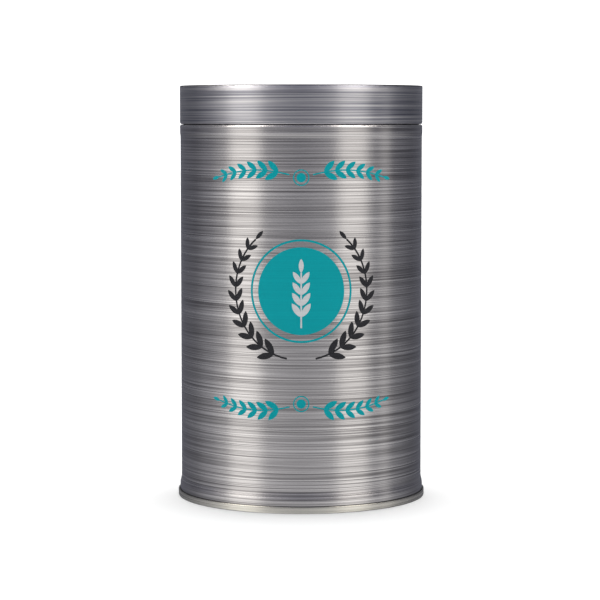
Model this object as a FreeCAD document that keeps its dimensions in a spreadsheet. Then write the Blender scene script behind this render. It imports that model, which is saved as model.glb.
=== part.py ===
"""Round tinplate food canister with a slip lid.

The canister is a three-piece can with a separate lid, all of it thin sheet:
  body_wall      a rolled and side-welded tube with a necked top, an inside curl and a flared foot
  bottom_end     a pressed disc, double-seamed to the foot of the tube
  seam_compound  the ring of sealing compound inside the double seam
  lid            a drawn cap with a recessed panel and an inside curl that slides over the neck

Every piece is a line of straight runs and arcs along one face of the sheet, thickened by the plate and
revolved about Z. Millimetres, +Z up, origin at the centre of the base.
"""

import FreeCAD, Part
import os

import Sketcher
from FreeCAD import Placement, Rotation, Vector

doc = FreeCAD.newDocument("FoodCanister")

# Driving dimensions, in millimetres
SIZES = {
    "overall_height": 186.0,  # base to the top of the closed lid
    "body_diameter": 109.4,  # outside of the straight wall
    "body_plate": 0.22,  # sheet thickness of the tube
    "bead_rise": 0.2,  # how far the shoulder stands out from the wall, flush with the lid
    "bead_height": 2.5,  # straight band of the shoulder
    "bead_taper": 2.5,  # length over which the shoulder runs back to the wall
    "shoulder_ledge": 0.4,  # flat between the shoulder's round and the neck's hollow
    "neck_curl": 2.0,  # outside diameter of the curl at the mouth
    "foot_flare": 0.64,  # how far the foot stands out from the wall
    "foot_band": 0.1,  # straight band of the foot above the roof of the groove
    "flare_length": 4.1,  # length over which the foot runs back to the wall
    "weld_width": 1.0,  # lap of the welded side seam
    "weld_rise": 0.1,  # how far that lap stands out from the wall
    "lid_height": 17.3,  # top of the lid to the underside of its curl
    "lid_plate": 0.24,  # sheet thickness of the lid
    "lid_corner": 0.5,  # outside radius between lid top and skirt
    "lid_rim": 6.8,  # flat rim round the recessed panel
    "lid_recess": 1.0,  # depth of that panel
    "lid_step": 2.0,  # width of the slope between rim and panel
    "lid_curl": 1.9,  # outside diameter of the curl at the foot of the skirt
    "lid_clearance": 0.2,  # radial play between the lid's curl and the neck
    "lid_seat": 0.15,  # play between the lid's underside and the neck's curl
    "lid_gap": 0.15,  # open line between the lid's curl and the shoulder
    "end_plate": 0.22,  # sheet thickness of the bottom end
    "seam_height": 3.0,  # height of the double seam
    "seam_gap": 0.05,  # play between neighbouring layers of the seam
    "hook_gap": 0.1,  # play at the tip of each hook
    "seam_hollow": 0.23,  # inside radius at the foot of the seam
    "compound": 0.15,  # thickness of the ribbon of sealing compound
    "groove_width": 2.4,  # countersink groove inside the seam, seen from below
    "groove_height": 5.2,  # roof of that groove above the base
    "groove_wall": 0.6,  # straight inner wall of the groove
    "panel_round": 0.8,  # radius between that wall and the bottom panel
    "ring_inset": 18.0,  # flat of the bottom panel outside its stiffening step
    "ring_step": 0.8,  # height of that step
    "ring_slope": 2.4,  # width of that step
}


def make_sheet(sizes):
    """The spreadsheet that every sketch and feature is bound to."""
    sheet = doc.addObject("Spreadsheet::Sheet", "Size")
    for row, (alias, value) in enumerate(sizes.items(), start=1):
        sheet.set(f"A{row}", alias)
        sheet.set(f"B{row}", str(value))
        sheet.setAlias(f"B{row}", alias)
    doc.recompute()
    return sheet


make_sheet(SIZES)

# Places that several pieces share, as expressions of the sheet
TOP = "Size.overall_height"
BODY_R = "Size.body_diameter / 2"
SHOULDER_R = f"({BODY_R} + Size.bead_rise)"
LID_R = SHOULDER_R
NECK_R = f"({LID_R} - Size.lid_curl - Size.lid_clearance)"
NECK_CURL_R = "Size.neck_curl / 2"
NECK_CURL_Z = f"({TOP} - Size.lid_plate - Size.lid_seat - {NECK_CURL_R})"
SHOULDER_ROUND = f"(({SHOULDER_R} - {NECK_R} - Size.shoulder_ledge) / 2)"
SHOULDER_Z = f"({TOP} - Size.lid_height - Size.lid_gap)"
WALL_TOP_Z = f"({SHOULDER_Z} - {SHOULDER_ROUND} - Size.bead_height - Size.bead_taper)"
FOOT_TOP_Z = "(Size.groove_height + Size.foot_band)"
WALL_FOOT_Z = f"({FOOT_TOP_Z} + Size.flare_length)"

# The double seam, from the foot of the wall outwards: wall, end hook, body hook, seam wall
FOOT_R = f"({BODY_R} + Size.foot_flare)"
SEAM_R = f"({FOOT_R} + 2 * Size.end_plate + Size.body_plate + 3 * Size.seam_gap)"
CHUCK_R = f"({FOOT_R} - Size.body_plate - Size.seam_gap - Size.end_plate)"
SEAM_ROUND = "(Size.end_plate + Size.seam_hollow)"
BODY_HOOK_R = f"({FOOT_R} + Size.end_plate + 2 * Size.seam_gap)"
BODY_BEND_R = "(Size.end_plate / 2 + Size.seam_gap)"
BODY_BEND_Z = f"(Size.end_plate + Size.compound + 2 * Size.seam_gap + Size.body_plate + {BODY_BEND_R})"
END_HOOK_R = f"({FOOT_R} + Size.seam_gap)"
END_BEND_R = "(Size.end_plate + Size.body_plate / 2 + Size.seam_gap)"
END_BEND_Z = f"(Size.seam_height - {END_BEND_R})"

LEFT, RIGHT = 1, -1  # the way an arc turns, or the side the plate lies on, walking along the line


def line(x, z):
    """A straight run to a point."""
    return {"end": (x, z)}


def arc(x, z, centre_x, centre_z, turn):
    """An arc of at most a half circle to a point, about a centre."""
    return {"end": (x, z), "centre": (centre_x, centre_z), "turn": turn}


def hold(sketch, name, index, corner, expression):
    """Ties one direction of a corner to an expression, measured from the origin."""
    value = float(sketch.evalExpression(expression))
    number = sketch.addConstraint(Sketcher.Constraint(name, -1, 1, index, corner, value))
    sketch.setExpression(f"Constraints[{number}]", expression)


def place(sketch, index, corner, expressions):
    """Ties one corner of a sketch to two expressions, one for each direction."""
    for name, across, expression in zip(("DistanceX", "DistanceY"), (-2, -1), expressions):
        if expression == "0":
            sketch.addConstraint(Sketcher.Constraint("PointOnObject", index, corner, across))
        else:
            hold(sketch, name, index, corner, expression)


def outline(name, start, steps):
    """An open line in the XZ plane, with every corner and centre tied to the sheet."""
    sketch = doc.addObject("Sketcher::SketchObject", name)
    sketch.Placement = Placement(Vector(), Rotation(Vector(1, 0, 0), 90))

    def point(expressions):
        return Vector(*(float(sketch.evalExpression(e)) for e in expressions), 0)

    here = point(start)
    joint = None
    for step in steps:
        there = point(step["end"])
        if "centre" in step:
            centre = point(step["centre"])
            first, last = (here, there) if step["turn"] == LEFT else (there, here)
            circle = Part.Circle(centre, Vector(0, 0, 1), (here - centre).Length)
            run = Part.ArcOfCircle(circle, circle.parameter(first), circle.parameter(last))
            begin, end = (1, 2) if step["turn"] == LEFT else (2, 1)
        else:
            run = Part.LineSegment(here, there)
            begin, end = 1, 2
        index = sketch.addGeometry(run, False)
        if joint is None:
            place(sketch, index, begin, start)
        else:
            sketch.addConstraint(Sketcher.Constraint("Coincident", *joint, index, begin))
        place(sketch, index, end, step["end"])
        if "centre" in step:
            chord = there - here
            wide = abs(chord.x) > abs(chord.y)
            name_held, which = ("DistanceY", 1) if wide else ("DistanceX", 0)
            hold(sketch, name_held, index, 3, step["centre"][which])
        joint = (index, end)
        here = there
    return sketch


def frame_line(name, inner, outer, low, high):
    """A closed rectangle between two radii and two heights."""
    corners = [(outer, low), (outer, high), (inner, high), (inner, low)]
    return outline(name, (inner, low), [line(*corner) for corner in corners])


def sidestep(along, length, across, rise, sign, upright):
    """Two equal arcs that carry an upright or a level run sideways by rise over a length."""
    bend = f"(({length}) ^ 2 + ({rise}) ^ 2) / (4 * ({rise}))"
    back = "-" if sign == "+" else "+"
    away, home = (RIGHT, LEFT) if upright == (sign == "+") else (LEFT, RIGHT)
    half_way, far_way = f"{along} + {length} / 2", f"{along} + {length}"
    half_side, far_side = f"{across} {sign} {rise} / 2", f"{across} {sign} {rise}"
    legs = [
        (half_way, half_side, along, f"{across} {sign} {bend}", away),
        (far_way, far_side, far_way, f"{far_side} {back} {bend}", home),
    ]
    if upright:
        legs = [(side, way, side_mid, way_mid, turn) for way, side, way_mid, side_mid, turn in legs]
    return [arc(*leg) for leg in legs]


def thicken(sketch, name, plate, side):
    """The section of a sheet: the line with the plate's thickness on one side of it."""
    section = doc.addObject("Part::Offset2D", name)
    section.Source = sketch
    section.Mode = "Skin"
    section.Join = "Arc"
    section.Fill = True
    section.setExpression("Value", f"{side} * {plate}")
    return section


def revolve(section, name):
    """A full turn of a section about Z."""
    turned = doc.addObject("Part::Revolution", name)
    turned.Source = section
    turned.Axis = Vector(0, 0, 1)
    turned.Base = Vector(0, 0, 0)
    turned.Angle = 360
    turned.Solid = True
    return turned


def make_body_wall():
    """The tube: body hook, flared foot, straight wall, shoulder, neck and inside curl."""
    hook_tip = f"{END_BEND_Z} - Size.hook_gap"
    shoulder_in = f"{SHOULDER_R} - {SHOULDER_ROUND}"
    shoulder_low = f"{SHOULDER_Z} - {SHOULDER_ROUND}"
    neck_out = f"{NECK_R} + {SHOULDER_ROUND}"
    neck_foot = f"{SHOULDER_Z} + {SHOULDER_ROUND}"
    curl_middle = f"{NECK_R} - {NECK_CURL_R}"
    steps = [
        line(BODY_HOOK_R, BODY_BEND_Z),
        arc(FOOT_R, BODY_BEND_Z, f"{FOOT_R} + {BODY_BEND_R}", BODY_BEND_Z, RIGHT),
        line(FOOT_R, FOOT_TOP_Z),
        *sidestep(FOOT_TOP_Z, "Size.flare_length", FOOT_R, "Size.foot_flare", "-", upright=True),
        line(BODY_R, WALL_TOP_Z),
        *sidestep(WALL_TOP_Z, "Size.bead_taper", BODY_R, "Size.bead_rise", "+", upright=True),
        line(SHOULDER_R, shoulder_low),
        arc(shoulder_in, SHOULDER_Z, shoulder_in, shoulder_low, LEFT),
        line(neck_out, SHOULDER_Z),
        arc(NECK_R, neck_foot, neck_out, neck_foot, RIGHT),
        line(NECK_R, NECK_CURL_Z),
        arc(f"{NECK_R} - Size.neck_curl", NECK_CURL_Z, curl_middle, NECK_CURL_Z, LEFT),
        arc(curl_middle, f"{NECK_CURL_Z} - {NECK_CURL_R}", curl_middle, NECK_CURL_Z, LEFT),
    ]
    sketch = outline("BodyLine", (BODY_HOOK_R, hook_tip), steps)
    tube = revolve(thicken(sketch, "BodySection", "Size.body_plate", LEFT), "BodyTube")
    body = doc.addObject("Part::Fuse", "BodyWall")
    body.Base = tube
    body.Tool = make_side_weld()
    body.Label = "body_wall"
    return body


def make_side_weld():
    """The welded lap of the side seam, a low ridge up the back of the straight wall."""
    inner, outer = f"{BODY_R} - Size.body_plate / 2", f"{BODY_R} + Size.weld_rise"
    weld = revolve(frame_line("WeldLine", inner, outer, WALL_FOOT_Z, WALL_TOP_Z), "SideWeld")
    weld.Symmetric = True
    weld.setExpression("Angle", f"Size.weld_width / ({BODY_R}) * 180 / pi")
    weld.Placement = Placement(Vector(), Rotation(Vector(0, 0, 1), 90))
    return weld


def make_bottom_end():
    """The bottom disc: stepped panel, countersink groove, chuck wall, seam wall and end hook."""
    groove_r = "Size.groove_width / 2"
    groove_in = f"({CHUCK_R} - Size.groove_width)"
    groove_spring = f"(Size.groove_height - {groove_r})"
    panel_edge = f"({groove_in} - Size.panel_round)"
    panel_rise = f"({groove_spring} - Size.groove_wall)"
    panel_z = f"({panel_rise} - Size.panel_round)"
    ring_in = f"({panel_edge} - Size.ring_inset - Size.ring_slope)"
    centre_z = f"({panel_z} + Size.ring_step)"
    seam_in, seam_out = f"{CHUCK_R} + {SEAM_ROUND}", f"{SEAM_R} - {SEAM_ROUND}"
    steps = [
        line(ring_in, centre_z),
        *sidestep(ring_in, "Size.ring_slope", centre_z, "Size.ring_step", "-", upright=False),
        line(panel_edge, panel_z),
        arc(groove_in, panel_rise, panel_edge, panel_rise, LEFT),
        line(groove_in, groove_spring),
        arc(CHUCK_R, groove_spring, f"{groove_in} + {groove_r}", groove_spring, RIGHT),
        line(CHUCK_R, SEAM_ROUND),
        arc(seam_in, "0", seam_in, SEAM_ROUND, LEFT),
        line(seam_out, "0"),
        arc(SEAM_R, SEAM_ROUND, seam_out, SEAM_ROUND, LEFT),
        line(SEAM_R, END_BEND_Z),
        arc(END_HOOK_R, END_BEND_Z, f"{END_HOOK_R} + {END_BEND_R}", END_BEND_Z, LEFT),
        line(END_HOOK_R, f"{BODY_BEND_Z} + Size.hook_gap"),
    ]
    sketch = outline("EndLine", ("0", centre_z), steps)
    end = revolve(thicken(sketch, "EndSection", "Size.end_plate", LEFT), "BottomEnd")
    end.Label = "bottom_end"
    return end


def make_seam_compound():
    """The ribbon of sealing compound on the floor of the seam, under the body's bend."""
    inner, outer = f"{CHUCK_R} + {SEAM_ROUND}", f"{SEAM_R} - {SEAM_ROUND}"
    low = "(Size.end_plate + Size.seam_gap)"
    high = f"{low} + Size.compound"
    ring = revolve(frame_line("CompoundLine", inner, outer, low, high), "SeamCompound")
    ring.Label = "seam_compound"
    return ring


def make_lid():
    """The lid: recessed panel, flat rim, rounded corner, skirt and inside curl."""
    corner_in, corner_low = f"({LID_R} - Size.lid_corner)", f"{TOP} - Size.lid_corner"
    panel_r = f"({corner_in} - Size.lid_rim - Size.lid_step)"
    panel_z = f"({TOP} - Size.lid_recess)"
    curl_r = "Size.lid_curl / 2"
    curl_z = f"({TOP} - Size.lid_height + {curl_r})"
    curl_middle = f"{LID_R} - {curl_r}"
    steps = [
        line(panel_r, panel_z),
        *sidestep(panel_r, "Size.lid_step", panel_z, "Size.lid_recess", "+", upright=False),
        line(corner_in, TOP),
        arc(LID_R, corner_low, corner_in, corner_low, RIGHT),
        line(LID_R, curl_z),
        arc(f"{LID_R} - Size.lid_curl", curl_z, curl_middle, curl_z, RIGHT),
        arc(curl_middle, f"{curl_z} + {curl_r}", curl_middle, curl_z, RIGHT),
    ]
    sketch = outline("LidLine", ("0", panel_z), steps)
    lid = revolve(thicken(sketch, "LidSection", "Size.lid_plate", RIGHT), "Lid")
    lid.Label = "lid"
    return lid


def check(pieces):
    """Stops the build if a feature failed or a piece is not one sound solid."""
    for feature in doc.Objects:
        if {"Invalid", "Error"} & set(feature.State):
            raise RuntimeError(f"{feature.Label} failed: {feature.State}")
    for piece in pieces:
        if piece.Shape.isNull() or not piece.Shape.isValid() or len(piece.Shape.Solids) != 1:
            raise RuntimeError(f"{piece.Label} is not one sound solid")


def write(pieces):
    """One STEP file for each piece, named by its label."""
    os.makedirs("parts", exist_ok=True)
    for piece in pieces:
        piece.Shape.exportStep(f"parts/{piece.Label}.step")
        print(f"{piece.Label}: {piece.Shape.Volume:.1f} mm3")


pieces = [make_body_wall(), make_bottom_end(), make_seam_compound(), make_lid()]
doc.recompute()
check(pieces)
write(pieces)
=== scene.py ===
# %% [markdown]
# # A round tinplate canister
# The real thing is a tall kitchen tin: a rolled tube with a bottom seamed on, and a drawn lid that slides
# over a narrower neck. All of it is thin sheet, so the shapes come from bends: curls, a shoulder, a
# flared foot and a rolled seam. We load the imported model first, as a fixed frame, and every piece that we
# make goes where that frame says.

# %% Load the frame
import math

import bmesh
import bpy
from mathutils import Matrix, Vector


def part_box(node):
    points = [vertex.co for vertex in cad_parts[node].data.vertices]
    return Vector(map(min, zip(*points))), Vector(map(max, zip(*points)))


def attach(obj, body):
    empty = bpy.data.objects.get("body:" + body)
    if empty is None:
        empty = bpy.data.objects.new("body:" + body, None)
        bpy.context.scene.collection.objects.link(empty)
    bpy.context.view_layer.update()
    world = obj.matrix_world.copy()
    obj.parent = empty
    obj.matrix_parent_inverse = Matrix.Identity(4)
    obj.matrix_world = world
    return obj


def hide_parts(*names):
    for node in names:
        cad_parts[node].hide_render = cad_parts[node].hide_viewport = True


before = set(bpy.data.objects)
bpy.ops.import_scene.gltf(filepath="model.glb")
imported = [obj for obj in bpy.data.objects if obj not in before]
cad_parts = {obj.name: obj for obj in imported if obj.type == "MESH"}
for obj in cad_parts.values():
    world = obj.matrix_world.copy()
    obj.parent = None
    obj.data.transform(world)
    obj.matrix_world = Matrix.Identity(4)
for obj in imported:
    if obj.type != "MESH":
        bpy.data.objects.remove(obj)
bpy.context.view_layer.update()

MM = 0.001

# %% [markdown]
# ## The camera
# A picture taken from a metre away with a long lens hardly tapers an upright cylinder. The distance, the
# height and the tilt below were worked out from the curves of the lid's edge and of the foot. The small
# sideways shift is all that the framing needs.

# %% Camera
IMAGE_PIXELS = 600
SENSOR_MM = 36.0
FOCAL_PIXELS = 2246.2
CAMERA_DISTANCE = 1.0212
CAMERA_HEIGHT = 0.17286
CAMERA_TILT = math.radians(4.71)
AXIS_PIXEL = 301.21

camera_data = bpy.data.cameras.new("long_lens")
camera_data.sensor_width = SENSOR_MM
camera_data.lens = FOCAL_PIXELS / IMAGE_PIXELS * SENSOR_MM
camera_data.shift_x = (IMAGE_PIXELS / 2 - AXIS_PIXEL) / IMAGE_PIXELS
camera = bpy.data.objects.new("long_lens", camera_data)
camera.location = (0, -CAMERA_DISTANCE, CAMERA_HEIGHT)
camera.rotation_euler = (math.radians(90) - CAMERA_TILT, 0, 0)
bpy.context.scene.collection.objects.link(camera)
bpy.context.scene.camera = camera
print(f"lens {camera_data.lens:.1f} mm")

# %% [markdown]
# ## Nodes and colours
# Materials, the studio and Geometry Nodes are all node trees, so one small function adds a node, sets it
# up and links it. Colours are written as they look on screen, in sRGB hex, and turned to linear light
# once.


# %% Node helper and colour
def add(tree, kind, settings=None, inputs=None):
    """Adds a node. Settings are its properties. An input is a value, a socket, or a node's first output."""
    made = tree.nodes.new(kind)
    for name, value in (settings or {}).items():
        setattr(made, name, value)
    for key, value in (inputs or {}).items():
        if isinstance(value, bpy.types.Node):
            value = value.outputs[0]
        if isinstance(value, bpy.types.NodeSocket):
            tree.links.new(value, made.inputs[key])
        else:
            made.inputs[key].default_value = value
    return made


def linear(hex_colour):
    """An sRGB hex colour as linear red, green, blue and alpha."""
    channels = [int(hex_colour[i : i + 2], 16) / 255 for i in (1, 3, 5)]
    return [c / 12.92 if c <= 0.04045 else ((c + 0.055) / 1.055) ** 2.4 for c in channels] + [1.0]


print(f"screen grey #808080 is {linear('#808080')[0]:.3f} in linear light")

# %% [markdown]
# ## The studio
# Shiny metal shows its surroundings more than its own colour. A product photographer puts tall soft boxes
# beside a tin and dark card behind it, so that it gets bright upright bands and dark edges. Here the sky
# does that: what shiny surfaces mirror is a ring of soft bands round the canister, cool where it is dark
# and warm where it is bright. Higher up the bands stand wider apart, as the glints on the rounded edges
# do. Everything else gets plain white light.

# %% Bands of the studio
COOL, WARM = (0.87, 0.91, 1.24), (1.025, 0.995, 0.96)
# Azimuth in degrees from the camera, positive to the right, and how bright the band is there
SKY_BANDS = [
    (-180, 0.20),
    (-160, 0.12),
    (-120, 0.14),
    (-98, 0.30),
    (-78, 0.62),
    (-64, 1.80),
    (-46, 1.80),
    (-32, 0.52),
    (0, 0.36),
    (28, 0.50),
    (42, 1.60),
    (58, 1.55),
    (74, 0.34),
    (86, 0.80),
    (98, 0.22),
    (130, 0.12),
    (160, 0.12),
    (180, 0.20),
]
TURN = 1 / (2 * math.pi)
WIDER_FROM, WIDER_TO, WIDER_TURN = 0.15, 0.6, 0.8 * TURN

world = bpy.data.worlds.new("studio")
bpy.context.scene.world = world
world.use_nodes = True
sky = world.node_tree
sky.nodes.clear()
way = add(sky, "ShaderNodeSeparateXYZ", inputs={0: add(sky, "ShaderNodeTexCoord").outputs["Generated"]})
up = way.outputs["Z"]
towards = add(sky, "ShaderNodeMath", {"operation": "MULTIPLY"}, {0: way.outputs["Y"], 1: -1.0})
azimuth = add(sky, "ShaderNodeMath", {"operation": "ARCTAN2"}, {0: way.outputs["X"], 1: towards})
widening = {"From Min": WIDER_FROM, "From Max": WIDER_TO, "To Min": TURN, "To Max": WIDER_TURN}
per_radian = add(sky, "ShaderNodeMapRange", {}, {"Value": up, **widening})
turn = add(sky, "ShaderNodeMath", {"operation": "MULTIPLY_ADD"}, {0: azimuth, 1: per_radian, 2: 0.5})
bands = add(sky, "ShaderNodeValToRGB", {}, {"Fac": turn})
bands.color_ramp.interpolation = "EASE"
while len(bands.color_ramp.elements) < len(SKY_BANDS):
    bands.color_ramp.elements.new(0.5)
for element, (degrees, level) in zip(bands.color_ramp.elements, SKY_BANDS):
    share = min(1.0, math.sqrt(level))
    element.position = degrees / 360 + 0.5
    element.color = [level * (cool + share * (warm - cool)) for cool, warm in zip(COOL, WARM)] + [1.0]
print("sky bands:", len(SKY_BANDS))

# %% [markdown]
# Higher up in front the bands are also sharper, so that the lid's corner and the shoulder glint where a
# band stands and stay dark between. Overhead they fade into an even glow, and below the horizon they fade
# a little towards the pale floor, which is itself hidden from mirror rays. The white light is stronger
# from behind, so the canister throws its soft shadow forwards. Light that has bounced off the floor finds
# the metal dark, which keeps that shadow tight.

# %% Sky above and below, and what each kind of ray sees
SKY_WHITE, FROM_BEHIND = 1.55, 1.05
OVERHEAD, GLINT = [0.42, 0.42, 0.45, 1.0], 4.2
FLOOR_GLOW, FLOOR_SHARE = [1.3, 1.29, 1.27, 1.0], 0.42
BLACK = [0.0, 0.0, 0.0, 1.0]
# What each fade follows, where it starts and ends, and how far it goes
FADES = {
    "raised": (up, 0.36, 0.57, 1.0),
    "front": (towards, 0.0, 0.15, 1.0),
    "high": (up, 0.8, 0.98, 1.0),
    "under": (up, -0.02, -0.13, FLOOR_SHARE),
    "ahead": (towards, -1.0, 0.9, 1.0),
}

fade = {}
for label, (follows, start, end, most) in FADES.items():
    span = {"Value": follows, "From Min": start, "From Max": end, "To Max": most}
    fade[label] = add(sky, "ShaderNodeMapRange", {"interpolation_type": "SMOOTHSTEP"}, span)
sharp = add(sky, "ShaderNodeMath", {"operation": "MULTIPLY"}, {0: fade["raised"], 1: fade["front"]})
low = add(sky, "ShaderNodeMath", {"operation": "MULTIPLY"}, {0: fade["under"], 1: fade["ahead"]})
colour = {"data_type": "RGBA"}
strong = add(sky, "ShaderNodeVectorMath", {"operation": "SCALE"}, {0: bands, "Scale": GLINT})
glints = add(sky, "ShaderNodeMix", {**colour, "blend_type": "MULTIPLY"}, {0: sharp, 6: bands, 7: strong})
mirrored = add(sky, "ShaderNodeMix", colour, {0: fade["high"], 6: glints.outputs[2], 7: OVERHEAD})
lifted = add(sky, "ShaderNodeMix", colour, {0: low, 6: mirrored.outputs[2], 7: FLOOR_GLOW})
path = add(sky, "ShaderNodeLightPath").outputs
bounced = add(sky, "ShaderNodeMath", {"operation": "MINIMUM"}, {0: path["Diffuse Depth"], 1: 1.0})
direct = add(sky, "ShaderNodeMix", colour, {0: bounced, 6: lifted.outputs[2], 7: BLACK})
behind = add(sky, "ShaderNodeMix", {}, {0: path["Is Camera Ray"], 2: way.outputs["Y"], 3: 0.0})
white = add(sky, "ShaderNodeMath", {"operation": "MULTIPLY_ADD"}, {0: behind, 1: FROM_BEHIND, 2: SKY_WHITE})
seen = add(sky, "ShaderNodeMix", colour, {0: path["Is Glossy Ray"], 6: white, 7: direct.outputs[2]})
light = add(sky, "ShaderNodeBackground", inputs={"Color": seen.outputs[2], "Strength": 1.0})
add(sky, "ShaderNodeOutputWorld", inputs={"Surface": light})
bpy.context.scene.view_settings.view_transform = "Standard"
print("white light", SKY_WHITE)

# %% [markdown]
# ## The floor
# A wide sheet of matt white card. It catches the soft shadow and shows nothing of its own. Mirror rays
# pass it by, because the sky already gives the metal the glow of a pale floor.

# %% Floor
FLOOR_HALF = 6.0

floor_paint = bpy.data.materials.new("matt_white_floor")
floor_paint.use_nodes = True
floor_shader = floor_paint.node_tree.nodes["Principled BSDF"]
floor_shader.inputs["Base Color"].default_value = linear("#F7F7F7")
floor_shader.inputs["Roughness"].default_value = 1.0
floor_shader.inputs["Specular IOR Level"].default_value = 0.0
floor_mesh = bpy.data.meshes.new("floor")
floor_corners = [(x * FLOOR_HALF, y * FLOOR_HALF, 0) for x, y in ((-1, -1), (1, -1), (1, 1), (-1, 1))]
floor_mesh.from_pydata(floor_corners, [], [(0, 1, 2, 3)])
floor_mesh.materials.append(floor_paint)
floor = bpy.data.objects.new("floor", floor_mesh)
floor.visible_glossy = False
bpy.context.scene.collection.objects.link(floor)
print("floor", 2 * FLOOR_HALF, "m wide")

# %% [markdown]
# ## Brushed print on tinplate
# The grey of the canister is a picture of brushed metal, printed on tinplate and varnished. Level streaks
# of several lengths run round it, with thin dark hairlines between. Noise that is stretched along x and y
# and squeezed along the sheet gives streaks that run round the axis with no seam. A hairline lies
# wherever one more noise, stretched further still, crosses its middle value. The sheet's own length comes
# from the UV map, so the streaks turn into rings on the lid's top.


# %% Streaks
# Length and thickness in mm, and the share of the whole
STREAKS = [(260, 0.50, 0.40), (70, 0.40, 0.44), (150, 2.4, 0.16)]
# Length and pitch in mm, then width and depth as values of the noise
HAIRLINES = (500, 1.7, 0.05, 0.08)


def new_material(name):
    """A material, its tree and its shader."""
    material = bpy.data.materials.new(name)
    material.use_nodes = True
    return material, material.node_tree, material.node_tree.nodes["Principled BSDF"]


def stretched_noise(tree, sheet, length, thickness, detail):
    """Noise in level streaks of a length and thickness in millimetres."""
    size = (1 / (length * MM), 1 / (length * MM), 1 / (thickness * MM))
    scaled = add(tree, "ShaderNodeVectorMath", {"operation": "MULTIPLY"}, {0: sheet, 1: size})
    grain = {"Vector": scaled, "Scale": 1.0, "Detail": detail, "Roughness": 0.6}
    return add(tree, "ShaderNodeTexNoise", inputs=grain)


def streak_field(tree, along):
    """Level streaks round the axis, about 0 to 1. The socket along gives the length up the sheet."""
    place = add(tree, "ShaderNodeSeparateXYZ", inputs={0: add(tree, "ShaderNodeTexCoord").outputs["Object"]})
    sheet = add(tree, "ShaderNodeCombineXYZ", inputs={0: place.outputs["X"], 1: place.outputs["Y"], 2: along})
    total = 0.0
    for length, thickness, share in STREAKS:
        noise = stretched_noise(tree, sheet, length, thickness, 1.0)
        total = add(tree, "ShaderNodeMath", {"operation": "MULTIPLY_ADD"}, {0: noise, 1: share, 2: total})
    length, pitch, width, depth = HAIRLINES
    noise = stretched_noise(tree, sheet, length, pitch, 0.0)
    swing = add(tree, "ShaderNodeMath", {"operation": "SUBTRACT"}, {0: noise, 1: 0.5})
    distance = add(tree, "ShaderNodeMath", {"operation": "ABSOLUTE"}, {0: swing})
    cut = {"Value": distance, "From Max": width, "To Min": -depth, "To Max": 0.0}
    hairlines = add(tree, "ShaderNodeMapRange", inputs=cut)
    return add(tree, "ShaderNodeMath", {"operation": "ADD"}, {0: total, 1: hairlines})


def sheet_length(tree):
    """The length up the sheet, from the piece's own UV map."""
    return add(tree, "ShaderNodeSeparateXYZ", inputs={0: add(tree, "ShaderNodeUVMap")}).outputs["Y"]


print("streak layers:", len(STREAKS), "and hairlines every", HAIRLINES[1], "mm or so")

# %% [markdown]
# The metal under the ink still mirrors the studio, so the shader is a metal whose colour is the ink's.
# The streaks also change the gloss a little, and a faint orange peel breaks up the highlights. Over it
# all lies a clear varnish, which evens out the streaks towards the sides, where we look along the
# surface. Where the wall runs into the seam at the foot, a mask on the height paints a dark line of shade
# into the colour. Near an edge a bump can lean the normal, which makes a soft glow there.

# %% Brushed print material
PEEL_SIZE, PEEL_DEPTH, PEEL_STRENGTH = 1.1 * MM, 0.03 * MM, 0.6


def crevice(tree, dark_at, clear_at, keep):
    """A colour factor of painted shade: 1 on the open sheet, and keep in the crevice above the seam."""
    place = add(tree, "ShaderNodeSeparateXYZ", inputs={0: add(tree, "ShaderNodeTexCoord").outputs["Object"]})
    span = {"Value": place.outputs["Z"], "From Min": dark_at, "From Max": clear_at, "To Min": keep}
    return add(tree, "ShaderNodeMapRange", {"interpolation_type": "SMOOTHSTEP"}, span)


def edge_glow(tree, start, end, slope):
    """A normal that leans upwards more and more from one height to another, and so mirrors higher lights."""
    place = add(tree, "ShaderNodeSeparateXYZ", inputs={0: add(tree, "ShaderNodeTexCoord").outputs["Object"]})
    past = add(tree, "ShaderNodeMath", {"operation": "SUBTRACT"}, {0: place.outputs["Z"], 1: start})
    above = add(tree, "ShaderNodeMath", {"operation": "MAXIMUM"}, {0: past, 1: 0.0})
    square = add(tree, "ShaderNodeMath", {"operation": "MULTIPLY"}, {0: above, 1: above})
    fall = add(tree, "ShaderNodeMath", {"operation": "MULTIPLY"}, {0: square, 1: -slope / 2 / (end - start)})
    return add(tree, "ShaderNodeBump", {}, {"Height": fall, "Strength": 1.0, "Distance": 1.0})


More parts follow.
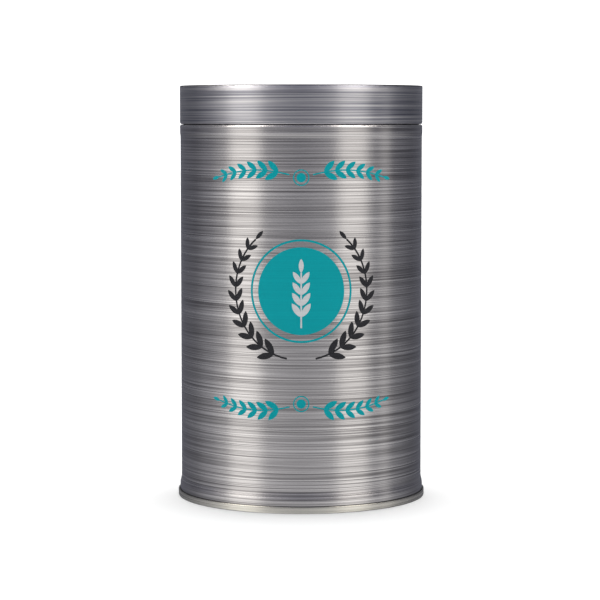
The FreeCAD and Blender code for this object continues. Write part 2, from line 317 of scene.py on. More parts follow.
def streaked_metal(name, tones, spread, rough, shade=None, metal=1.0, varnish=None, glow=None):
    """Metal streaked between two hex tones, with optional painted crevice shade, varnish and edge glow."""
    material, tree, shader = new_material(name)
    place = add(tree, "ShaderNodeTexCoord").outputs["Object"]
    streaks = streak_field(tree, sheet_length(tree))
    tone = add(tree, "ShaderNodeValToRGB", {}, {"Fac": streaks})
    for element, position, hex_colour in zip(tone.color_ramp.elements, spread, tones):
        element.position = position
        element.color = linear(hex_colour)
    shaded = {0: 1.0, 6: tone, 7: crevice(tree, *shade) if shade else linear("#FFFFFF")}
    colour = add(tree, "ShaderNodeMix", {"data_type": "RGBA", "blend_type": "MULTIPLY"}, shaded)
    tree.links.new(colour.outputs[2], shader.inputs["Base Color"])
    span = {"From Min": spread[0], "From Max": spread[1], "To Min": rough[0], "To Max": rough[1]}
    gloss = add(tree, "ShaderNodeMapRange", {}, {"Value": streaks, **span})
    tree.links.new(gloss.outputs[0], shader.inputs["Roughness"])
    peel = add(tree, "ShaderNodeTexNoise", {}, {"Vector": place, "Scale": 1 / PEEL_SIZE, "Detail": 1.0})
    dents = {"Height": peel, "Strength": PEEL_STRENGTH, "Distance": PEEL_DEPTH}
    if glow:
        dents["Normal"] = edge_glow(tree, *glow)
    tree.links.new(add(tree, "ShaderNodeBump", {}, dents).outputs[0], shader.inputs["Normal"])
    shader.inputs["Metallic"].default_value = metal
    for part, value in (varnish or {}).items():
        shader.inputs["Coat " + part].default_value = value
    return material


print(f"orange peel {PEEL_SIZE / MM:.1f} mm wide")

# %% [markdown]
# Three prints come from this. The wall's is a neutral grey, and the lid's is cooler and a little duller.
# Under the lid's top edge lies a soft glow, as where lacquer gathers along an edge. It belongs to the finish
# alone, drawn stronger than life by the leaning normal, and the skirt itself stays straight. On the tight
# corner above it the print is painted darker, a thin line of painted shade that also damps the glint there.

# %% Prints on the wall and the lid
LID_LOW, LID_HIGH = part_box("lid")
LID_TOP = LID_HIGH[2]
# The height where the glow starts, the height where it ends, and the slope of the normal there
LID_GLOW = (LID_TOP - 4.2 * MM, LID_TOP, 0.31)
# The height where the painted shade is darkest, the height where it is clear, and the share of colour kept
WALL_SHADE = (2.95 * MM, 3.6 * MM, 0.25)
VARNISH = {"Weight": 1.0, "Roughness": 0.15, "IOR": 1.6}
BODY_SPREAD, BODY_ROUGH = (0.36, 0.64), (0.19, 0.28)
LID_SPREAD, LID_ROUGH = (0.355, 0.645), (0.29, 0.40)
# Neutral brushed grey, glossy enough to show the studio's bands, with painted shade above the seam
BODY_PRINT = streaked_metal(
    "brushed_print_on_body", ("#615E5F", "#CCCACA"), BODY_SPREAD, BODY_ROUGH, WALL_SHADE, varnish=VARNISH
)
# The same on the lid, cooler in its dark streaks and a little duller
LID_PRINT = streaked_metal(
    "brushed_print_on_lid", ("#575967", "#C1C0C1"), LID_SPREAD, LID_ROUGH, varnish=VARNISH, glow=LID_GLOW
)
# Darker and without varnish, a thin line of painted shade round the lid's corner
PAINTED_CORNER_SHADE_PRINT = streaked_metal("painted_shade_on_lid_corner", ("#303138", "#6E6D6E"), LID_SPREAD, LID_ROUGH)
print("print:", BODY_PRINT.name, LID_PRINT.name, PAINTED_CORNER_SHADE_PRINT.name)

# %% [markdown]
# Where there is no ink the sheet is bright rolled tin, a warm silver with faint roll marks. That is the
# seam at the foot, the bottom, the neck and everything inside. The seam's rounded top lies in the same
# crevice and gets the same painted shade.

# %% Bare tin material
# The same three values of painted shade as on the wall, for the side below the crevice
SEAM_SHADE = (2.95 * MM, 2.6 * MM, 0.3)
# Warm bright silver
TIN = streaked_metal("bare_rolled_tinplate", ("#B5B3AA", "#DEDCD2"), (0.25, 0.75), (0.22, 0.28))
# The same tin on the outside of the seam, dulled by the seaming rolls, with painted shade at its top
SEAM_TIN = streaked_metal(
    "seamed_tinplate", ("#A3A19A", "#CFCDC5"), (0.35, 0.65), (0.24, 0.32), SEAM_SHADE, metal=0.93
)
print("bare:", TIN.name, SEAM_TIN.name)

# %% [markdown]
# ## Walking along a sheet
# Each piece is a sheet of even thickness, turned about the upright axis. Its section is easiest to
# describe as a walk along one face: go ahead so far, turn so many degrees on such a radius. The other
# face is the same walk, one plate thickness to the side. Short steps at both ends of a straight run keep
# the shading of the long walls flat.

# %% The walk
BEND_STEP = math.radians(10)
END_STEP = 0.3 * MM


class Walk:
    """Points along one face of a sheet in the plane of radius and height, with the way at each."""

    def __init__(self, radius, height, degrees):
        self.place = (radius, height)
        self.way = math.radians(degrees)
        self.points = [(radius, height, self.way)]

    def step(self, along, across):
        """Moves by a distance along the way and a distance to its left."""
        c, s = math.cos(self.way), math.sin(self.way)
        self.place = (self.place[0] + along * c - across * s, self.place[1] + along * s + across * c)

    def ahead(self, length):
        """A straight run."""
        near = min(END_STEP, length / 4)
        for piece in (near, length - 2 * near, near):
            self.step(piece, 0)
            self.points.append((*self.place, self.way))
        return self

    def turn(self, degrees, radius):
        """An arc, to the left if the angle is positive."""
        side = math.copysign(1, degrees)
        count = max(3, math.ceil(abs(math.radians(degrees)) / BEND_STEP))
        small = math.radians(abs(degrees)) / count
        for _ in range(count):
            self.step(radius * math.sin(small), side * radius * (1 - math.cos(small)))
            self.way += side * small
            self.points.append((*self.place, self.way))
        return self

    def sidestep(self, rise, length, side):
        """Two equal arcs that move the run sideways, to the left if side is 1."""
        angle = math.degrees(2 * math.atan(rise / length))
        radius = (length**2 + rise**2) / (4 * rise)
        return self.turn(side * angle, radius).turn(-side * angle, radius)

    def section(self, plate, side):
        """Both faces, each point with its length along the sheet."""
        near, far, length = [], [], 0.0
        for index, (radius, height, way) in enumerate(self.points):
            if index:
                length += math.dist(self.points[index - 1][:2], (radius, height))
            shift = side * plate
            near.append((radius, height, length))
            far.append((radius - shift * math.sin(way), height + shift * math.cos(way), length))
        return near, far


print("steps in a quarter bend:", len(Walk(0, 0, 0).turn(90, MM).points) - 1)

# %% [markdown]
# The lathe turns such a section into a closed mesh. It starts at the back, where the real seam is, so the
# UV map is cut there too. The UVs are in metres, and each face gets the finish that the piece names for
# it.

# %% The lathe
SPOKES = 240
SHARP_EDGE = math.radians(50)
TINY = 1e-7


def lathe(name, walk, plate, side, finishes, finish_of):
    """Turns a sheet's section into a mesh. finish_of(face, point, spoke) picks one of the finishes."""
    near, far = walk.section(plate, side)
    ring = near + far[::-1]
    faces = ["near"] * len(near) + ["far"] * len(far)
    spoke_width = 2 * math.pi * max(radius for radius, _, _ in ring) / SPOKES
    angles = [2 * math.pi * spoke / SPOKES for spoke in range(SPOKES)]
    work = bmesh.new()
    uv = work.loops.layers.uv.new("UVMap")
    columns = []
    for radius, height, _ in ring:
        if radius < TINY:
            columns.append([work.verts.new((0, 0, height))] * SPOKES)
        else:
            round_it = [(radius * math.sin(a), radius * math.cos(a), height) for a in angles]
            columns.append([work.verts.new(place) for place in round_it])
    for index in range(len(ring)):
        other = (index + 1) % len(ring)
        if ring[index][0] < TINY and ring[other][0] < TINY:
            continue
        for spoke in range(SPOKES):
            corners = [(index, spoke), (other, spoke), (other, spoke + 1), (index, spoke + 1)]
            verts = [columns[i][s % SPOKES] for i, s in corners]
            face = work.faces.new(list(dict.fromkeys(verts)))
            face.smooth = True
            face.material_index = finish_of(faces[index], ring[index], spoke)
            for loop in face.loops:
                i, s = corners[verts.index(loop.vert)]
                loop[uv].uv = (s * spoke_width, ring[i][2])
    bmesh.ops.recalc_face_normals(work, faces=work.faces)
    mesh = bpy.data.meshes.new(name)
    work.to_mesh(mesh)
    work.free()
    mesh.set_sharp_from_angle(angle=SHARP_EDGE)
    for finish in finishes:
        mesh.materials.append(finish)
    piece = bpy.data.objects.new(name, mesh)
    bpy.context.scene.collection.objects.link(piece)
    print(name, len(mesh.polygons), "faces")
    return piece


print("degrees between spokes:", 360 / SPOKES)

# %% [markdown]
# ## Sizes of the bends
# The outer sizes come from the frame. The sizes of the bends are those of the sheet-metal design, in
# metres.

# %% Sizes
LID_R = LID_HIGH[0]
LID_FOOT = LID_LOW[2]
SEAM_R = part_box("bottom_end")[1][0]

BODY_PLATE, LID_PLATE, END_PLATE = 0.22 * MM, 0.24 * MM, 0.22 * MM
SEAM_GAP, HOOK_GAP = 0.05 * MM, 0.1 * MM
SEAM_HEIGHT, SEAM_ROUND = 3.0 * MM, 0.45 * MM
COMPOUND = 0.15 * MM
FOOT_FLARE, FLARE_LENGTH, FOOT_TOP = 0.64 * MM, 4.1 * MM, 5.3 * MM
BEAD_RISE, BEAD_HEIGHT, BEAD_TAPER = 0.2 * MM, 2.5 * MM, 2.5 * MM
LID_CURL, LID_PLAY, LID_SEAT, LID_GAP = 1.9 * MM, 0.2 * MM, 0.15 * MM, 0.15 * MM
NECK_CURL, SHOULDER_LEDGE = 2.0 * MM, 0.4 * MM

FOOT_R = SEAM_R - 2 * END_PLATE - BODY_PLATE - 3 * SEAM_GAP
BODY_R = FOOT_R - FOOT_FLARE
CHUCK_R = FOOT_R - BODY_PLATE - SEAM_GAP - END_PLATE
NECK_R = LID_R - LID_CURL - LID_PLAY
SHOULDER_ROUND = (LID_R - NECK_R - SHOULDER_LEDGE) / 2
SHOULDER_Z = LID_FOOT - LID_GAP
WALL_TOP = SHOULDER_Z - SHOULDER_ROUND - BEAD_HEIGHT - BEAD_TAPER
WALL_FOOT = FOOT_TOP + FLARE_LENGTH
BODY_BEND_R = END_PLATE / 2 + SEAM_GAP
BODY_BEND_Z = END_PLATE + COMPOUND + 2 * SEAM_GAP + BODY_PLATE + BODY_BEND_R
END_BEND_R = END_PLATE + BODY_PLATE / 2 + SEAM_GAP
END_BEND_Z = SEAM_HEIGHT - END_BEND_R
print(f"wall radius {BODY_R / MM:.2f} mm, neck radius {NECK_R / MM:.2f} mm")

# %% [markdown]
# ## The body
# One sheet is rolled into a tube and welded down the back, so a narrow strip there stays free of ink, and
# so does the neck, where the lid would scrape it. The inside is bare tin. The walk starts at the tip of
# the hook in the seam, goes up the wall and over the shoulder, and ends in the curl at the mouth.

# %% Body tube
BARE_SPOKES = 3
INKED, BARE = 0, 1


def body_finish(face, point, spoke):
    """Ink on the outside of the wall, except the strip along the weld and the neck."""
    on_strip = spoke < BARE_SPOKES or spoke >= SPOKES - BARE_SPOKES
    on_neck = point[1] > SHOULDER_Z - TINY
    return BARE if face == "far" or on_strip or on_neck else INKED


body_walk = (
    Walk(FOOT_R + 2 * BODY_BEND_R, END_BEND_Z - HOOK_GAP, -90)
    .ahead(END_BEND_Z - HOOK_GAP - BODY_BEND_Z)
    .turn(-180, BODY_BEND_R)
    .ahead(FOOT_TOP - BODY_BEND_Z)
    .sidestep(FOOT_FLARE, FLARE_LENGTH, 1)
    .ahead(WALL_TOP - WALL_FOOT)
    .sidestep(BEAD_RISE, BEAD_TAPER, -1)
    .ahead(BEAD_HEIGHT)
    .turn(90, SHOULDER_ROUND)
    .ahead(SHOULDER_LEDGE)
    .turn(-90, SHOULDER_ROUND)
    .ahead(LID_TOP - LID_PLATE - LID_SEAT - NECK_CURL / 2 - SHOULDER_Z - SHOULDER_ROUND)
    .turn(270, NECK_CURL / 2)
)
body_tube = lathe("body_tube", body_walk, BODY_PLATE, 1, (BODY_PRINT, TIN), body_finish)
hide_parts("body_wall")
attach(body_tube, "canister")

# %% [markdown]
# ## The bottom end
# The bottom is a pressed disc of bare tin. Its rim is rolled round the foot of the body, so its bright
# edge is all that shows from the front. From below there is a groove inside the seam and a shallow step
# that stiffens the disc.

# %% Bottom end
GROOVE_WIDTH, GROOVE_HEIGHT, GROOVE_WALL = 2.4 * MM, 5.2 * MM, 0.6 * MM
PANEL_ROUND = 0.8 * MM
RING_INSET, RING_STEP, RING_SLOPE = 18.0 * MM, 0.8 * MM, 2.4 * MM
CLEAN, SHADED = 0, 1

groove_spring = GROOVE_HEIGHT - GROOVE_WIDTH / 2
panel_z = groove_spring - GROOVE_WALL - PANEL_ROUND
ring_in = CHUCK_R - GROOVE_WIDTH - PANEL_ROUND - RING_INSET - RING_SLOPE
end_walk = (
    Walk(0, panel_z + RING_STEP, 0)
    .ahead(ring_in)
    .sidestep(RING_STEP, RING_SLOPE, -1)
    .ahead(RING_INSET)
    .turn(90, PANEL_ROUND)
    .ahead(GROOVE_WALL)
    .turn(-180, GROOVE_WIDTH / 2)
    .ahead(groove_spring - SEAM_ROUND)
    .turn(90, SEAM_ROUND)
    .ahead(SEAM_R - CHUCK_R - 2 * SEAM_ROUND)
    .turn(90, SEAM_ROUND)
    .ahead(END_BEND_Z - SEAM_ROUND)
    .turn(180, END_BEND_R)
    .ahead(END_BEND_Z - BODY_BEND_Z - HOOK_GAP)
)


def bottom_finish(face, point, spoke):
    """The seam's outside gets painted shade towards the crevice at its top."""
    return SHADED if point[0] > FOOT_R and face == "near" else CLEAN


seamed_bottom = lathe("seamed_bottom", end_walk, END_PLATE, 1, (TIN, SEAM_TIN), bottom_finish)
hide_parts("bottom_end")
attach(seamed_bottom, "canister")

# %% [markdown]
# ## The lid
# The lid is drawn from one disc: a panel set down a little, a flat rim, a tight corner, the skirt, and a
# curl turned inwards at its foot, which runs down the neck.

# %% Lid
LID_CORNER, LID_RIM, LID_RECESS, LID_STEP = 0.5 * MM, 6.8 * MM, 1.0 * MM, 2.0 * MM
# The lid's tight corner gets a darker print, a thin line of painted shade
PAINTED_CORNER_SHADE = 2

lid_walk = (
    Walk(0, LID_TOP - LID_RECESS, 0)
    .ahead(LID_R - LID_CORNER - LID_RIM - LID_STEP)
    .sidestep(LID_RECESS, LID_STEP, 1)
    .ahead(LID_RIM)
    .turn(-90, LID_CORNER)
    .ahead(LID_TOP - LID_FOOT - LID_CORNER - LID_CURL / 2)
    .turn(-270, LID_CURL / 2)
)


def lid_finish(face, point, spoke):
    """Ink on the outside, with painted shade on the tight corner."""
    on_corner = point[0] > LID_R - LID_CORNER - TINY and point[1] > LID_TOP - LID_CORNER + TINY
    return BARE if face == "far" else PAINTED_CORNER_SHADE if on_corner else INKED


slip_lid = lathe("slip_lid", lid_walk, LID_PLATE, -1, (LID_PRINT, TIN, PAINTED_CORNER_SHADE_PRINT), lid_finish)
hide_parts("lid")
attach(slip_lid, "lid")

# %% [markdown]
# ## Pieces that grow on the wall
# The printed design and the weld at the back repeat one small shape along a path, which is what Geometry
# Nodes are good at. Each tree takes a mesh of points or of short edges, and ends in real faces with their
# finish.


# %% Tree helpers
def new_tree(name, sizes):
    """An empty Geometry Nodes tree with named inputs, its input sockets and its output node."""
    tree = bpy.data.node_groups.new(name, "GeometryNodeTree")
    tree.interface.new_socket("Geometry", in_out="INPUT", socket_type="NodeSocketGeometry")
    for size in sizes:
        tree.interface.new_socket(size, in_out="INPUT", socket_type="NodeSocketFloat")
    tree.interface.new_socket("Finish", in_out="INPUT", socket_type="NodeSocketMaterial")
    tree.interface.new_socket("Geometry", in_out="OUTPUT", socket_type="NodeSocketGeometry")
    return tree, add(tree, "NodeGroupInput").outputs, add(tree, "NodeGroupOutput")


def close_tree(tree, shape, given, result):
    """Ends a tree in real faces with their finish."""
    real = add(tree, "GeometryNodeRealizeInstances", inputs={"Geometry": shape})
    finished = add(tree, "GeometryNodeSetMaterial", inputs={"Geometry": real, "Material": given["Finish"]})
    tree.links.new(finished.outputs[0], result.inputs[0])


def grow(name, tree, points, edges, values):
    """Runs a tree on a path and returns the result as a plain piece with its faces outwards."""
    path_mesh = bpy.data.meshes.new(name)
    path_mesh.from_pydata(points, edges, [])
    holder = bpy.data.objects.new(name + "_path", path_mesh)
    bpy.context.scene.collection.objects.link(holder)
    modifier = holder.modifiers.new(tree.name, "NODES")
    modifier.node_group = tree
    for socket in tree.interface.items_tree:
        if socket.in_out == "INPUT" and socket.name in values:
            modifier[socket.identifier] = values[socket.name]
    mesh = bpy.data.meshes.new_from_object(holder.evaluated_get(bpy.context.evaluated_depsgraph_get()))
    holder.modifiers.remove(modifier)
    bpy.data.objects.remove(holder)
    work = bmesh.new()
    work.from_mesh(mesh)
    bmesh.ops.recalc_face_normals(work, faces=work.faces)
    work.to_mesh(mesh)
    work.free()
    mesh.name = name
    piece = bpy.data.objects.new(name, mesh)
    bpy.context.scene.collection.objects.link(piece)
    low, high = [[round(f(v.co[i] for v in mesh.vertices) / MM, 2) for i in range(3)] for f in (min, max)]
    print(name, len(mesh.polygons), "faces, from", low, "to", high, "mm")
    return piece


print("tree helpers:", new_tree.__name__, close_tree.__name__, grow.__name__)

# %% [markdown]
# The design is drawn flat, with x as the length round the wall and y as the height. One shared group then
# wraps it round the wall, as a printed sheet is rolled into a tube.


# %% The wrap
def make_wrap():
    """Bends a flat drawing round the wall: x is the length round it, y the height, z the way out."""
    tree, given, result = new_tree("WrapRoundWall", ("Wall Radius", "Lift"))
    place = add(tree, "ShaderNodeSeparateXYZ", inputs={0: add(tree, "GeometryNodeInputPosition")}).outputs
    angle = add(tree, "ShaderNodeMath", {"operation": "DIVIDE"}, {0: place["X"], 1: given["Wall Radius"]})
    base = add(tree, "ShaderNodeMath", {"operation": "ADD"}, {0: given["Wall Radius"], 1: given["Lift"]})
    out = add(tree, "ShaderNodeMath", {"operation": "ADD"}, {0: base, 1: place["Z"]})
    inward = add(tree, "ShaderNodeMath", {"operation": "MULTIPLY"}, {0: out, 1: -1.0})
    sine = add(tree, "ShaderNodeMath", {"operation": "SINE"}, {0: angle})
    cosine = add(tree, "ShaderNodeMath", {"operation": "COSINE"}, {0: angle})
    x = add(tree, "ShaderNodeMath", {"operation": "MULTIPLY"}, {0: out, 1: sine})
    y = add(tree, "ShaderNodeMath", {"operation": "MULTIPLY"}, {0: inward, 1: cosine})
    bent = add(tree, "ShaderNodeCombineXYZ", inputs={0: x, 1: y, 2: place["Y"]})
    real = add(tree, "GeometryNodeRealizeInstances", inputs={"Geometry": given["Geometry"]})
    moved = add(tree, "GeometryNodeSetPosition", inputs={"Geometry": real, "Position": bent})
    tree.links.new(moved.outputs[0], result.inputs[0])
    return tree


WRAP = make_wrap()
ON_WALL = ("Film", "Wall Radius", "Lift")
print("wrap nodes:", len(WRAP.nodes))


def wrap_and_close(tree, shape, given, result):
    """Wraps a flat shape round the wall and ends the tree."""
    sizes = {"Geometry": shape, "Wall Radius": given["Wall Radius"], "Lift": given["Lift"]}
    close_tree(tree, add(tree, "GeometryNodeGroup", {"node_tree": WRAP}, sizes), given, result)


# %% [markdown]
# ## Inks
# The design is printed in three opaque inks over the brushed grey. Ink is a satin paint, not a metal. It
# lies thin, so the streaks show through a little, and its cover is never quite even.

# %% Ink materials
MOTTLE_SIZE, MOTTLE_SHARE = 0.5 * MM, 0.35
COVER_SPREAD, INK_ROUGH, INK_GLOSS = (0.45, 0.95), (0.42, 0.55), 0.08


def ink(name, hex_colour, thin_colour):
    """Satin litho ink: streaks of thinner cover, fine mottle, soft gloss."""
    material, tree, shader = new_material(name)
    place = add(tree, "ShaderNodeTexCoord").outputs["Object"]
    height = add(tree, "ShaderNodeSeparateXYZ", inputs={0: place}).outputs["Z"]
    streaks = streak_field(tree, height)
    grain = {"Vector": place, "Scale": 1 / MOTTLE_SIZE, "Detail": 2.0}
    mottle = add(tree, "ShaderNodeTexNoise", inputs=grain)
    mixed = {0: mottle, 1: MOTTLE_SHARE, 2: streaks}
    cover = add(tree, "ShaderNodeMath", {"operation": "MULTIPLY_ADD"}, mixed)
    tone = add(tree, "ShaderNodeValToRGB", {}, {"Fac": cover})
    for element, position, shade in zip(tone.color_ramp.elements, COVER_SPREAD, (hex_colour, thin_colour)):
        element.position = position
        element.color = linear(shade)
    tree.links.new(tone.outputs["Color"], shader.inputs["Base Color"])
    (thick, thin), (satin, dull) = COVER_SPREAD, INK_ROUGH
    span = {"Value": cover, "From Min": thick, "From Max": thin, "To Min": satin, "To Max": dull}
    tree.links.new(add(tree, "ShaderNodeMapRange", {}, span).outputs[0], shader.inputs["Roughness"])
    shader.inputs["Specular IOR Level"].default_value = INK_GLOSS
    return material


# A fresh blue-green, a soft near-black and a pale grey, all satin
TEAL = ink("teal_litho_ink", "#00868E", "#02929A")
CHARCOAL = ink("charcoal_litho_ink", "#1E1E21", "#2C2C30")
PALE = ink("pale_litho_ink", "#AFB2B4", "#BFC2C4")
print("inks:", TEAL.name, CHARCOAL.name, PALE.name)

# %% [markdown]
# ## Sprigs
# Most of the design is leaves in pairs along a stem. A leaf is a thin block of a few cells whose sides are
# drawn in to a point at both ends, by an arch over its length.

# %% Leaf
LEAF_CELLS, LEAF_BLUNT, LEAF_FULL = 9, 0.05, 0.8


def make_leaf(tree, given):
    """One leaf along x from the origin, pointed at both ends."""
    length = given["Leaf Length"]
    block = add(tree, "ShaderNodeCombineXYZ", inputs={0: length, 1: given["Leaf Width"], 2: given["Film"]})
    cells = {"Size": block, "Vertices X": LEAF_CELLS, "Vertices Y": 3, "Vertices Z": 2}
    slab = add(tree, "GeometryNodeMeshCube", inputs=cells)
    place = add(tree, "ShaderNodeSeparateXYZ", inputs={0: add(tree, "GeometryNodeInputPosition")}).outputs
    share = add(tree, "ShaderNodeMath", {"operation": "DIVIDE"}, {0: place["X"], 1: length})
    square = add(tree, "ShaderNodeMath", {"operation": "POWER"}, {0: share, 1: 2.0})
    clamped = {"operation": "MULTIPLY_ADD", "use_clamp": True}
    arch = add(tree, "ShaderNodeMath", clamped, {0: square, 1: -4.0, 2: 1.0})
    fuller = add(tree, "ShaderNodeMath", {"operation": "POWER"}, {0: arch, 1: LEAF_FULL})
    width = add(tree, "ShaderNodeMath", {"operation": "MAXIMUM"}, {0: fuller, 1: LEAF_BLUNT})
    y = add(tree, "ShaderNodeMath", {"operation": "MULTIPLY"}, {0: place["Y"], 1: width})
    x = add(tree, "ShaderNodeMath", {"operation": "MULTIPLY_ADD"}, {0: length, 1: 0.5, 2: place["X"]})
    drawn_in = add(tree, "ShaderNodeCombineXYZ", inputs={0: x, 1: y, 2: place["Z"]})
    return add(tree, "GeometryNodeSetPosition", inputs={"Geometry": slab, "Position": drawn_in})


print("cells along a leaf:", LEAF_CELLS - 1)

# %% [markdown]
# The sprig's tree turns the path into a curve, spaces points along it, and sets a leaf to the left and to the
# right of each point, leaning forwards, with one more at the tip. The same tree makes garlands, branches and
# an ear of wheat, by its inputs alone.

# %% Sprig tree
SIDE_LIFT = 0.004 * MM
STEM_FILM = 0.75


def make_sprig():
    """Leaves in pairs along a path, a leaf at its tip and a stem."""
    sizes = ("Spacing", "Leaf Length", "Leaf Width", "Lean", "Tip Size", "Stem Width")
    tree, given, result = new_tree("Sprig", sizes + ON_WALL)
    curve = add(tree, "GeometryNodeMeshToCurve", inputs={0: given["Geometry"]})
    spacing = {"Curve": curve, "Length": given["Spacing"]}
    spaced = add(tree, "GeometryNodeResampleCurve", {"mode": "LENGTH"}, spacing)
    leaf = make_leaf(tree, given)
    tangent = {"Vector": add(tree, "GeometryNodeInputTangent")}
    ahead = add(tree, "FunctionNodeAlignRotationToVector", {"axis": "X"}, tangent)
    factor = add(tree, "GeometryNodeSplineParameter").outputs["Factor"]
    shrink = {"Value": factor, "To Min": 1.0, "To Max": given["Tip Size"]}
    size = add(tree, "ShaderNodeMapRange", inputs=shrink)
    ends = add(tree, "GeometryNodeCurveEndpointSelection", inputs={"Start Size": 1, "End Size": 1})
    between = add(tree, "FunctionNodeBooleanMath", {"operation": "NOT"}, {0: ends})
    tip = add(tree, "GeometryNodeCurveEndpointSelection", inputs={"Start Size": 0, "End Size": 1})
    parts = []
    for side, chosen in ((1.0, between), (-1.0, between), (0.0, tip)):
        lean = add(tree, "ShaderNodeMath", {"operation": "MULTIPLY"}, {0: given["Lean"], 1: side})
        about_z = add(tree, "FunctionNodeAxisAngleToRotation", inputs={"Axis": (0, 0, 1), "Angle": lean})
        turned = {"Rotation": ahead, "Rotate By": about_z}
        aim = add(tree, "FunctionNodeRotateRotation", {"rotation_space": "LOCAL"}, turned)
        apart = {"Geometry": leaf, "Translation": (0, 0, side * SIDE_LIFT)}
        raised = add(tree, "GeometryNodeTransform", inputs=apart)
        setting = {"Points": spaced, "Selection": chosen, "Instance": raised, "Rotation": aim, "Scale": size}
        parts.append(add(tree, "GeometryNodeInstanceOnPoints", inputs=setting))
    thin = add(tree, "ShaderNodeMath", {"operation": "MULTIPLY"}, {0: given["Film"], 1: STEM_FILM})
    strip_size = {"Width": given["Stem Width"], "Height": thin}
    strip = add(tree, "GeometryNodeCurvePrimitiveQuadrilateral", inputs=strip_size)
    stem = {"Curve": curve, "Profile Curve": strip, "Fill Caps": True}
    parts.append(add(tree, "GeometryNodeCurveToMesh", inputs=stem))
    sprig = add(tree, "GeometryNodeJoinGeometry")
    for part in parts:
        tree.links.new(part.outputs[0], sprig.inputs[0])
    wrap_and_close(tree, sprig, given, result)
    return tree


SPRIG = make_sprig()
print("sprig inputs:", [socket.name for socket in SPRIG.interface.items_tree])

# %% [markdown]
# ## Medallions
# A disc with a ring round it stands at each point of the path: a large one in the middle of the design
# and a small one where the two halves of a garland meet.


# %% Medallion tree
def make_medallion():
    """A disc and a ring on each point of the path."""
    tree, given, result = new_tree("Medallion", ("Disc Radius", "Ring Radius", "Ring Width") + ON_WALL)
    cells = {"Vertices": 120, "Side Segments": 1, "Fill Segments": 10}
    disc = {**cells, "Radius": given["Disc Radius"], "Depth": given["Film"]}
    plate = add(tree, "GeometryNodeMeshCylinder", {"fill_type": "TRIANGLE_FAN"}, disc)
    circle = {"Resolution": 160, "Radius": given["Ring Radius"]}
    loop = add(tree, "GeometryNodeCurvePrimitiveCircle", inputs=circle)
    strip_size = {"Width": given["Ring Width"], "Height": given["Film"]}
    strip = add(tree, "GeometryNodeCurvePrimitiveQuadrilateral", inputs=strip_size)
    hoop = add(tree, "GeometryNodeCurveToMesh", inputs={"Curve": loop, "Profile Curve": strip})
    both = add(tree, "GeometryNodeJoinGeometry")
    for part in (plate, hoop):
        tree.links.new(part.outputs[0], both.inputs[0])
    setting = {"Points": given["Geometry"], "Instance": both}
    wrap_and_close(tree, add(tree, "GeometryNodeInstanceOnPoints", inputs=setting), given, result)
    return tree


MEDALLION = make_medallion()
print("medallion inputs:", [socket.name for socket in MEDALLION.interface.items_tree])

# %% [markdown]
# ## The printed design
# A medallion with an ear of wheat sits in the middle of the front, two branches curve up round it, and a
# garland runs above and below. Each ink is its own piece. The film is drawn far thicker than real ink,
# and most of it lies inside the wall, so that nothing floats.

# %% Where the design goes
DESIGN_Z = 97 * MM
WALL = {"Wall Radius": BODY_R, "Film": 0.10 * MM, "Lift": -0.02 * MM}
BOW_STEPS, ARC_STEPS = 16, 32


def chain(count):
    """The edges of an open path of so many points."""
    return [(i, i + 1) for i in range(count - 1)]


def bowed(reach, height, bow, start):
    """A garland's half: from near the middle out to its reach, bowed up or down. Negative reach goes left."""
    steps = [start + (1 - start) * i / BOW_STEPS for i in range(BOW_STEPS + 1)]
    return [(reach * s, height + bow * math.sin(math.pi * s), 0) for s in steps]


def round_middle(radius, first, last, side):
    """An arc round the middle of the design, by angles in degrees from straight down. Side -1 is the left."""
    angles = [math.radians(first + (last - first) * i / ARC_STEPS) for i in range(ARC_STEPS + 1)]
    return [(side * radius * math.sin(a), DESIGN_Z - radius * math.cos(a), 0) for a in angles]


def both_sides(path_of):
    """Two mirrored paths in one mesh: their points and their edges."""
    left, right = path_of(-1), path_of(1)
    edges = chain(len(left))
    return left + right, edges + [(a + len(left), b + len(left)) for a, b in edges]


def print_on(name, tree, points, edges, values, finish):
    """Grows one ink of the design on the canister's wall."""
    piece = grow(name, tree, points, edges, {**WALL, **values, "Finish": finish})
    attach(piece, "canister")
    return piece


print(f"the design's middle is {DESIGN_Z / MM:.0f} mm up")

# %% [markdown]
# The blue-green ink: the medallion, the studs where the garlands' halves meet, and the two garlands,
# which mirror each other about the middle.

# %% Medallions and garlands
GARLAND_REACH, GARLAND_BOW = 39 * MM, 3.2 * MM
GARLAND_RISE, GARLAND_START = 49 * MM, 0.13
LEAVES = {"Spacing": 4.6 * MM, "Leaf Length": 7.2 * MM, "Leaf Width": 2.8 * MM, "Lean": 0.66}
GARLAND = {**LEAVES, "Tip Size": 0.55, "Stem Width": 0.6 * MM}

large = {"Disc Radius": 19 * MM, "Ring Radius": 22 * MM, "Ring Width": 0.9 * MM}
print_on("medallion_print", MEDALLION, [(0, DESIGN_Z, 0)], [], large, TEAL)
small = {"Disc Radius": 2.0 * MM, "Ring Radius": 3.3 * MM, "Ring Width": 0.5 * MM}
studs = [(0, DESIGN_Z + GARLAND_RISE, 0), (0, DESIGN_Z - GARLAND_RISE, 0)]
print_on("stud_print", MEDALLION, studs, [], small, TEAL)
for name, upwards in (("upper_garland_print", 1), ("lower_garland_print", -1)):
    height, bow = DESIGN_Z + upwards * GARLAND_RISE, upwards * GARLAND_BOW
    points, edges = both_sides(lambda side: bowed(side * GARLAND_REACH, height, bow, GARLAND_START))
    print_on(name, SPRIG, points, edges, GARLAND, TEAL)

# %% [markdown]
# The charcoal branches curve round the medallion. The pale ear of wheat is printed last, on top of the
# disc, so it is lifted a little above that ink.

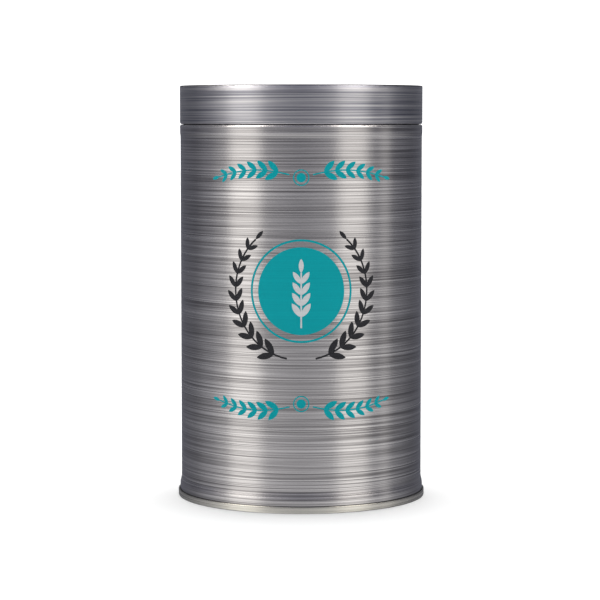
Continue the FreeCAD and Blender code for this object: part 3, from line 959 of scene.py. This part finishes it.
# %% Branches and wheat
BRANCH_RADIUS, BRANCH_FROM, BRANCH_TO = 30 * MM, 12, 138
BRANCH_LEAVES = {"Spacing": 5.6 * MM, "Leaf Length": 8.2 * MM, "Leaf Width": 3.0 * MM, "Lean": 0.62}
BRANCH = {**BRANCH_LEAVES, "Tip Size": 0.6, "Stem Width": 0.8 * MM}
GRAINS = {"Spacing": 4.3 * MM, "Leaf Length": 7.4 * MM, "Leaf Width": 2.7 * MM, "Lean": 0.6}
EAR = {**GRAINS, "Tip Size": 0.8, "Stem Width": 0.7 * MM, "Lift": 0.03 * MM}
EAR_HEIGHTS = (-16.0 * MM, -8.0 * MM, 0.0, 8.0 * MM)

points, edges = both_sides(lambda side: round_middle(BRANCH_RADIUS, BRANCH_FROM, BRANCH_TO, side))
print_on("branch_print", SPRIG, points, edges, BRANCH, CHARCOAL)
ear = [(0, DESIGN_Z + height, 0) for height in EAR_HEIGHTS]
print_on("wheat_print", SPRIG, ear, chain(len(ear)), EAR, PALE)

# %% [markdown]
# ## The weld at the back
# The lapped edges of the tube are welded by two wheels and a pulsed current, which leaves a row of small
# flattened nuggets. They are low and there are many, so a tree sets one rounded bead at each step of a
# line.

# %% Weld tree
WELD_PITCH, WELD_WIDTH, WELD_RISE = 1.1 * MM, 1.0 * MM, 0.1 * MM
WELD_OVERLAP = 1.25


def make_weld():
    """A row of rounded nuggets up a line of points at the back of the wall."""
    tree, given, result = new_tree("Weld", ("Pitch", "Width", "Rise"))
    curve = add(tree, "GeometryNodeMeshToCurve", inputs={0: given["Geometry"]})
    spacing = {"Curve": curve, "Length": given["Pitch"]}
    spaced = add(tree, "GeometryNodeResampleCurve", {"mode": "LENGTH"}, spacing)
    ball = add(tree, "GeometryNodeMeshUVSphere", inputs={"Segments": 10, "Rings": 6, "Radius": 0.5})
    long = add(tree, "ShaderNodeMath", {"operation": "MULTIPLY"}, {0: given["Pitch"], 1: WELD_OVERLAP})
    deep = add(tree, "ShaderNodeMath", {"operation": "MULTIPLY"}, {0: given["Rise"], 1: 2.0})
    size = add(tree, "ShaderNodeCombineXYZ", inputs={0: given["Width"], 1: deep, 2: long})
    nugget = add(tree, "GeometryNodeTransform", inputs={"Geometry": ball, "Scale": size})
    row = add(tree, "GeometryNodeInstanceOnPoints", inputs={"Points": spaced, "Instance": nugget})
    close_tree(tree, row, given, result)
    return tree


weld_line = [(0, BODY_R, WALL_FOOT), (0, BODY_R, WALL_TOP)]
weld_sizes = {"Pitch": WELD_PITCH, "Width": WELD_WIDTH, "Rise": WELD_RISE, "Finish": TIN}
weld = grow("side_weld", make_weld(), weld_line, chain(2), weld_sizes)
for face in weld.data.polygons:
    face.use_smooth = True
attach(weld, "canister")

# %% [markdown]
# ## Sealing compound
# A ribbon of rubbery compound lies inside the seam. It is hidden, and the frame's own shape is right, so
# it only gets a finish: dull, greyish and slightly grainy.

# %% Sealing compound
GRAIN_SIZE = 0.4 * MM

# Dull warm grey with a fine grain, as dried rubber has
compound, compound_tree, compound_shader = new_material("dried_sealing_compound")
compound_place = add(compound_tree, "ShaderNodeTexCoord").outputs["Object"]
grains = {"Vector": compound_place, "Scale": 1 / GRAIN_SIZE, "Detail": 2.0}
speckle = add(compound_tree, "ShaderNodeTexNoise", inputs=grains)
shade = add(compound_tree, "ShaderNodeValToRGB", {}, {"Fac": speckle})
shade.color_ramp.elements[0].color = linear("#8C877B")
shade.color_ramp.elements[1].color = linear("#A8A396")
compound_tree.links.new(shade.outputs["Color"], compound_shader.inputs["Base Color"])
compound_shader.inputs["Roughness"].default_value = 0.7
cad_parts["seam_compound"].data.materials.clear()
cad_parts["seam_compound"].data.materials.append(compound)
print("compound:", compound.name)
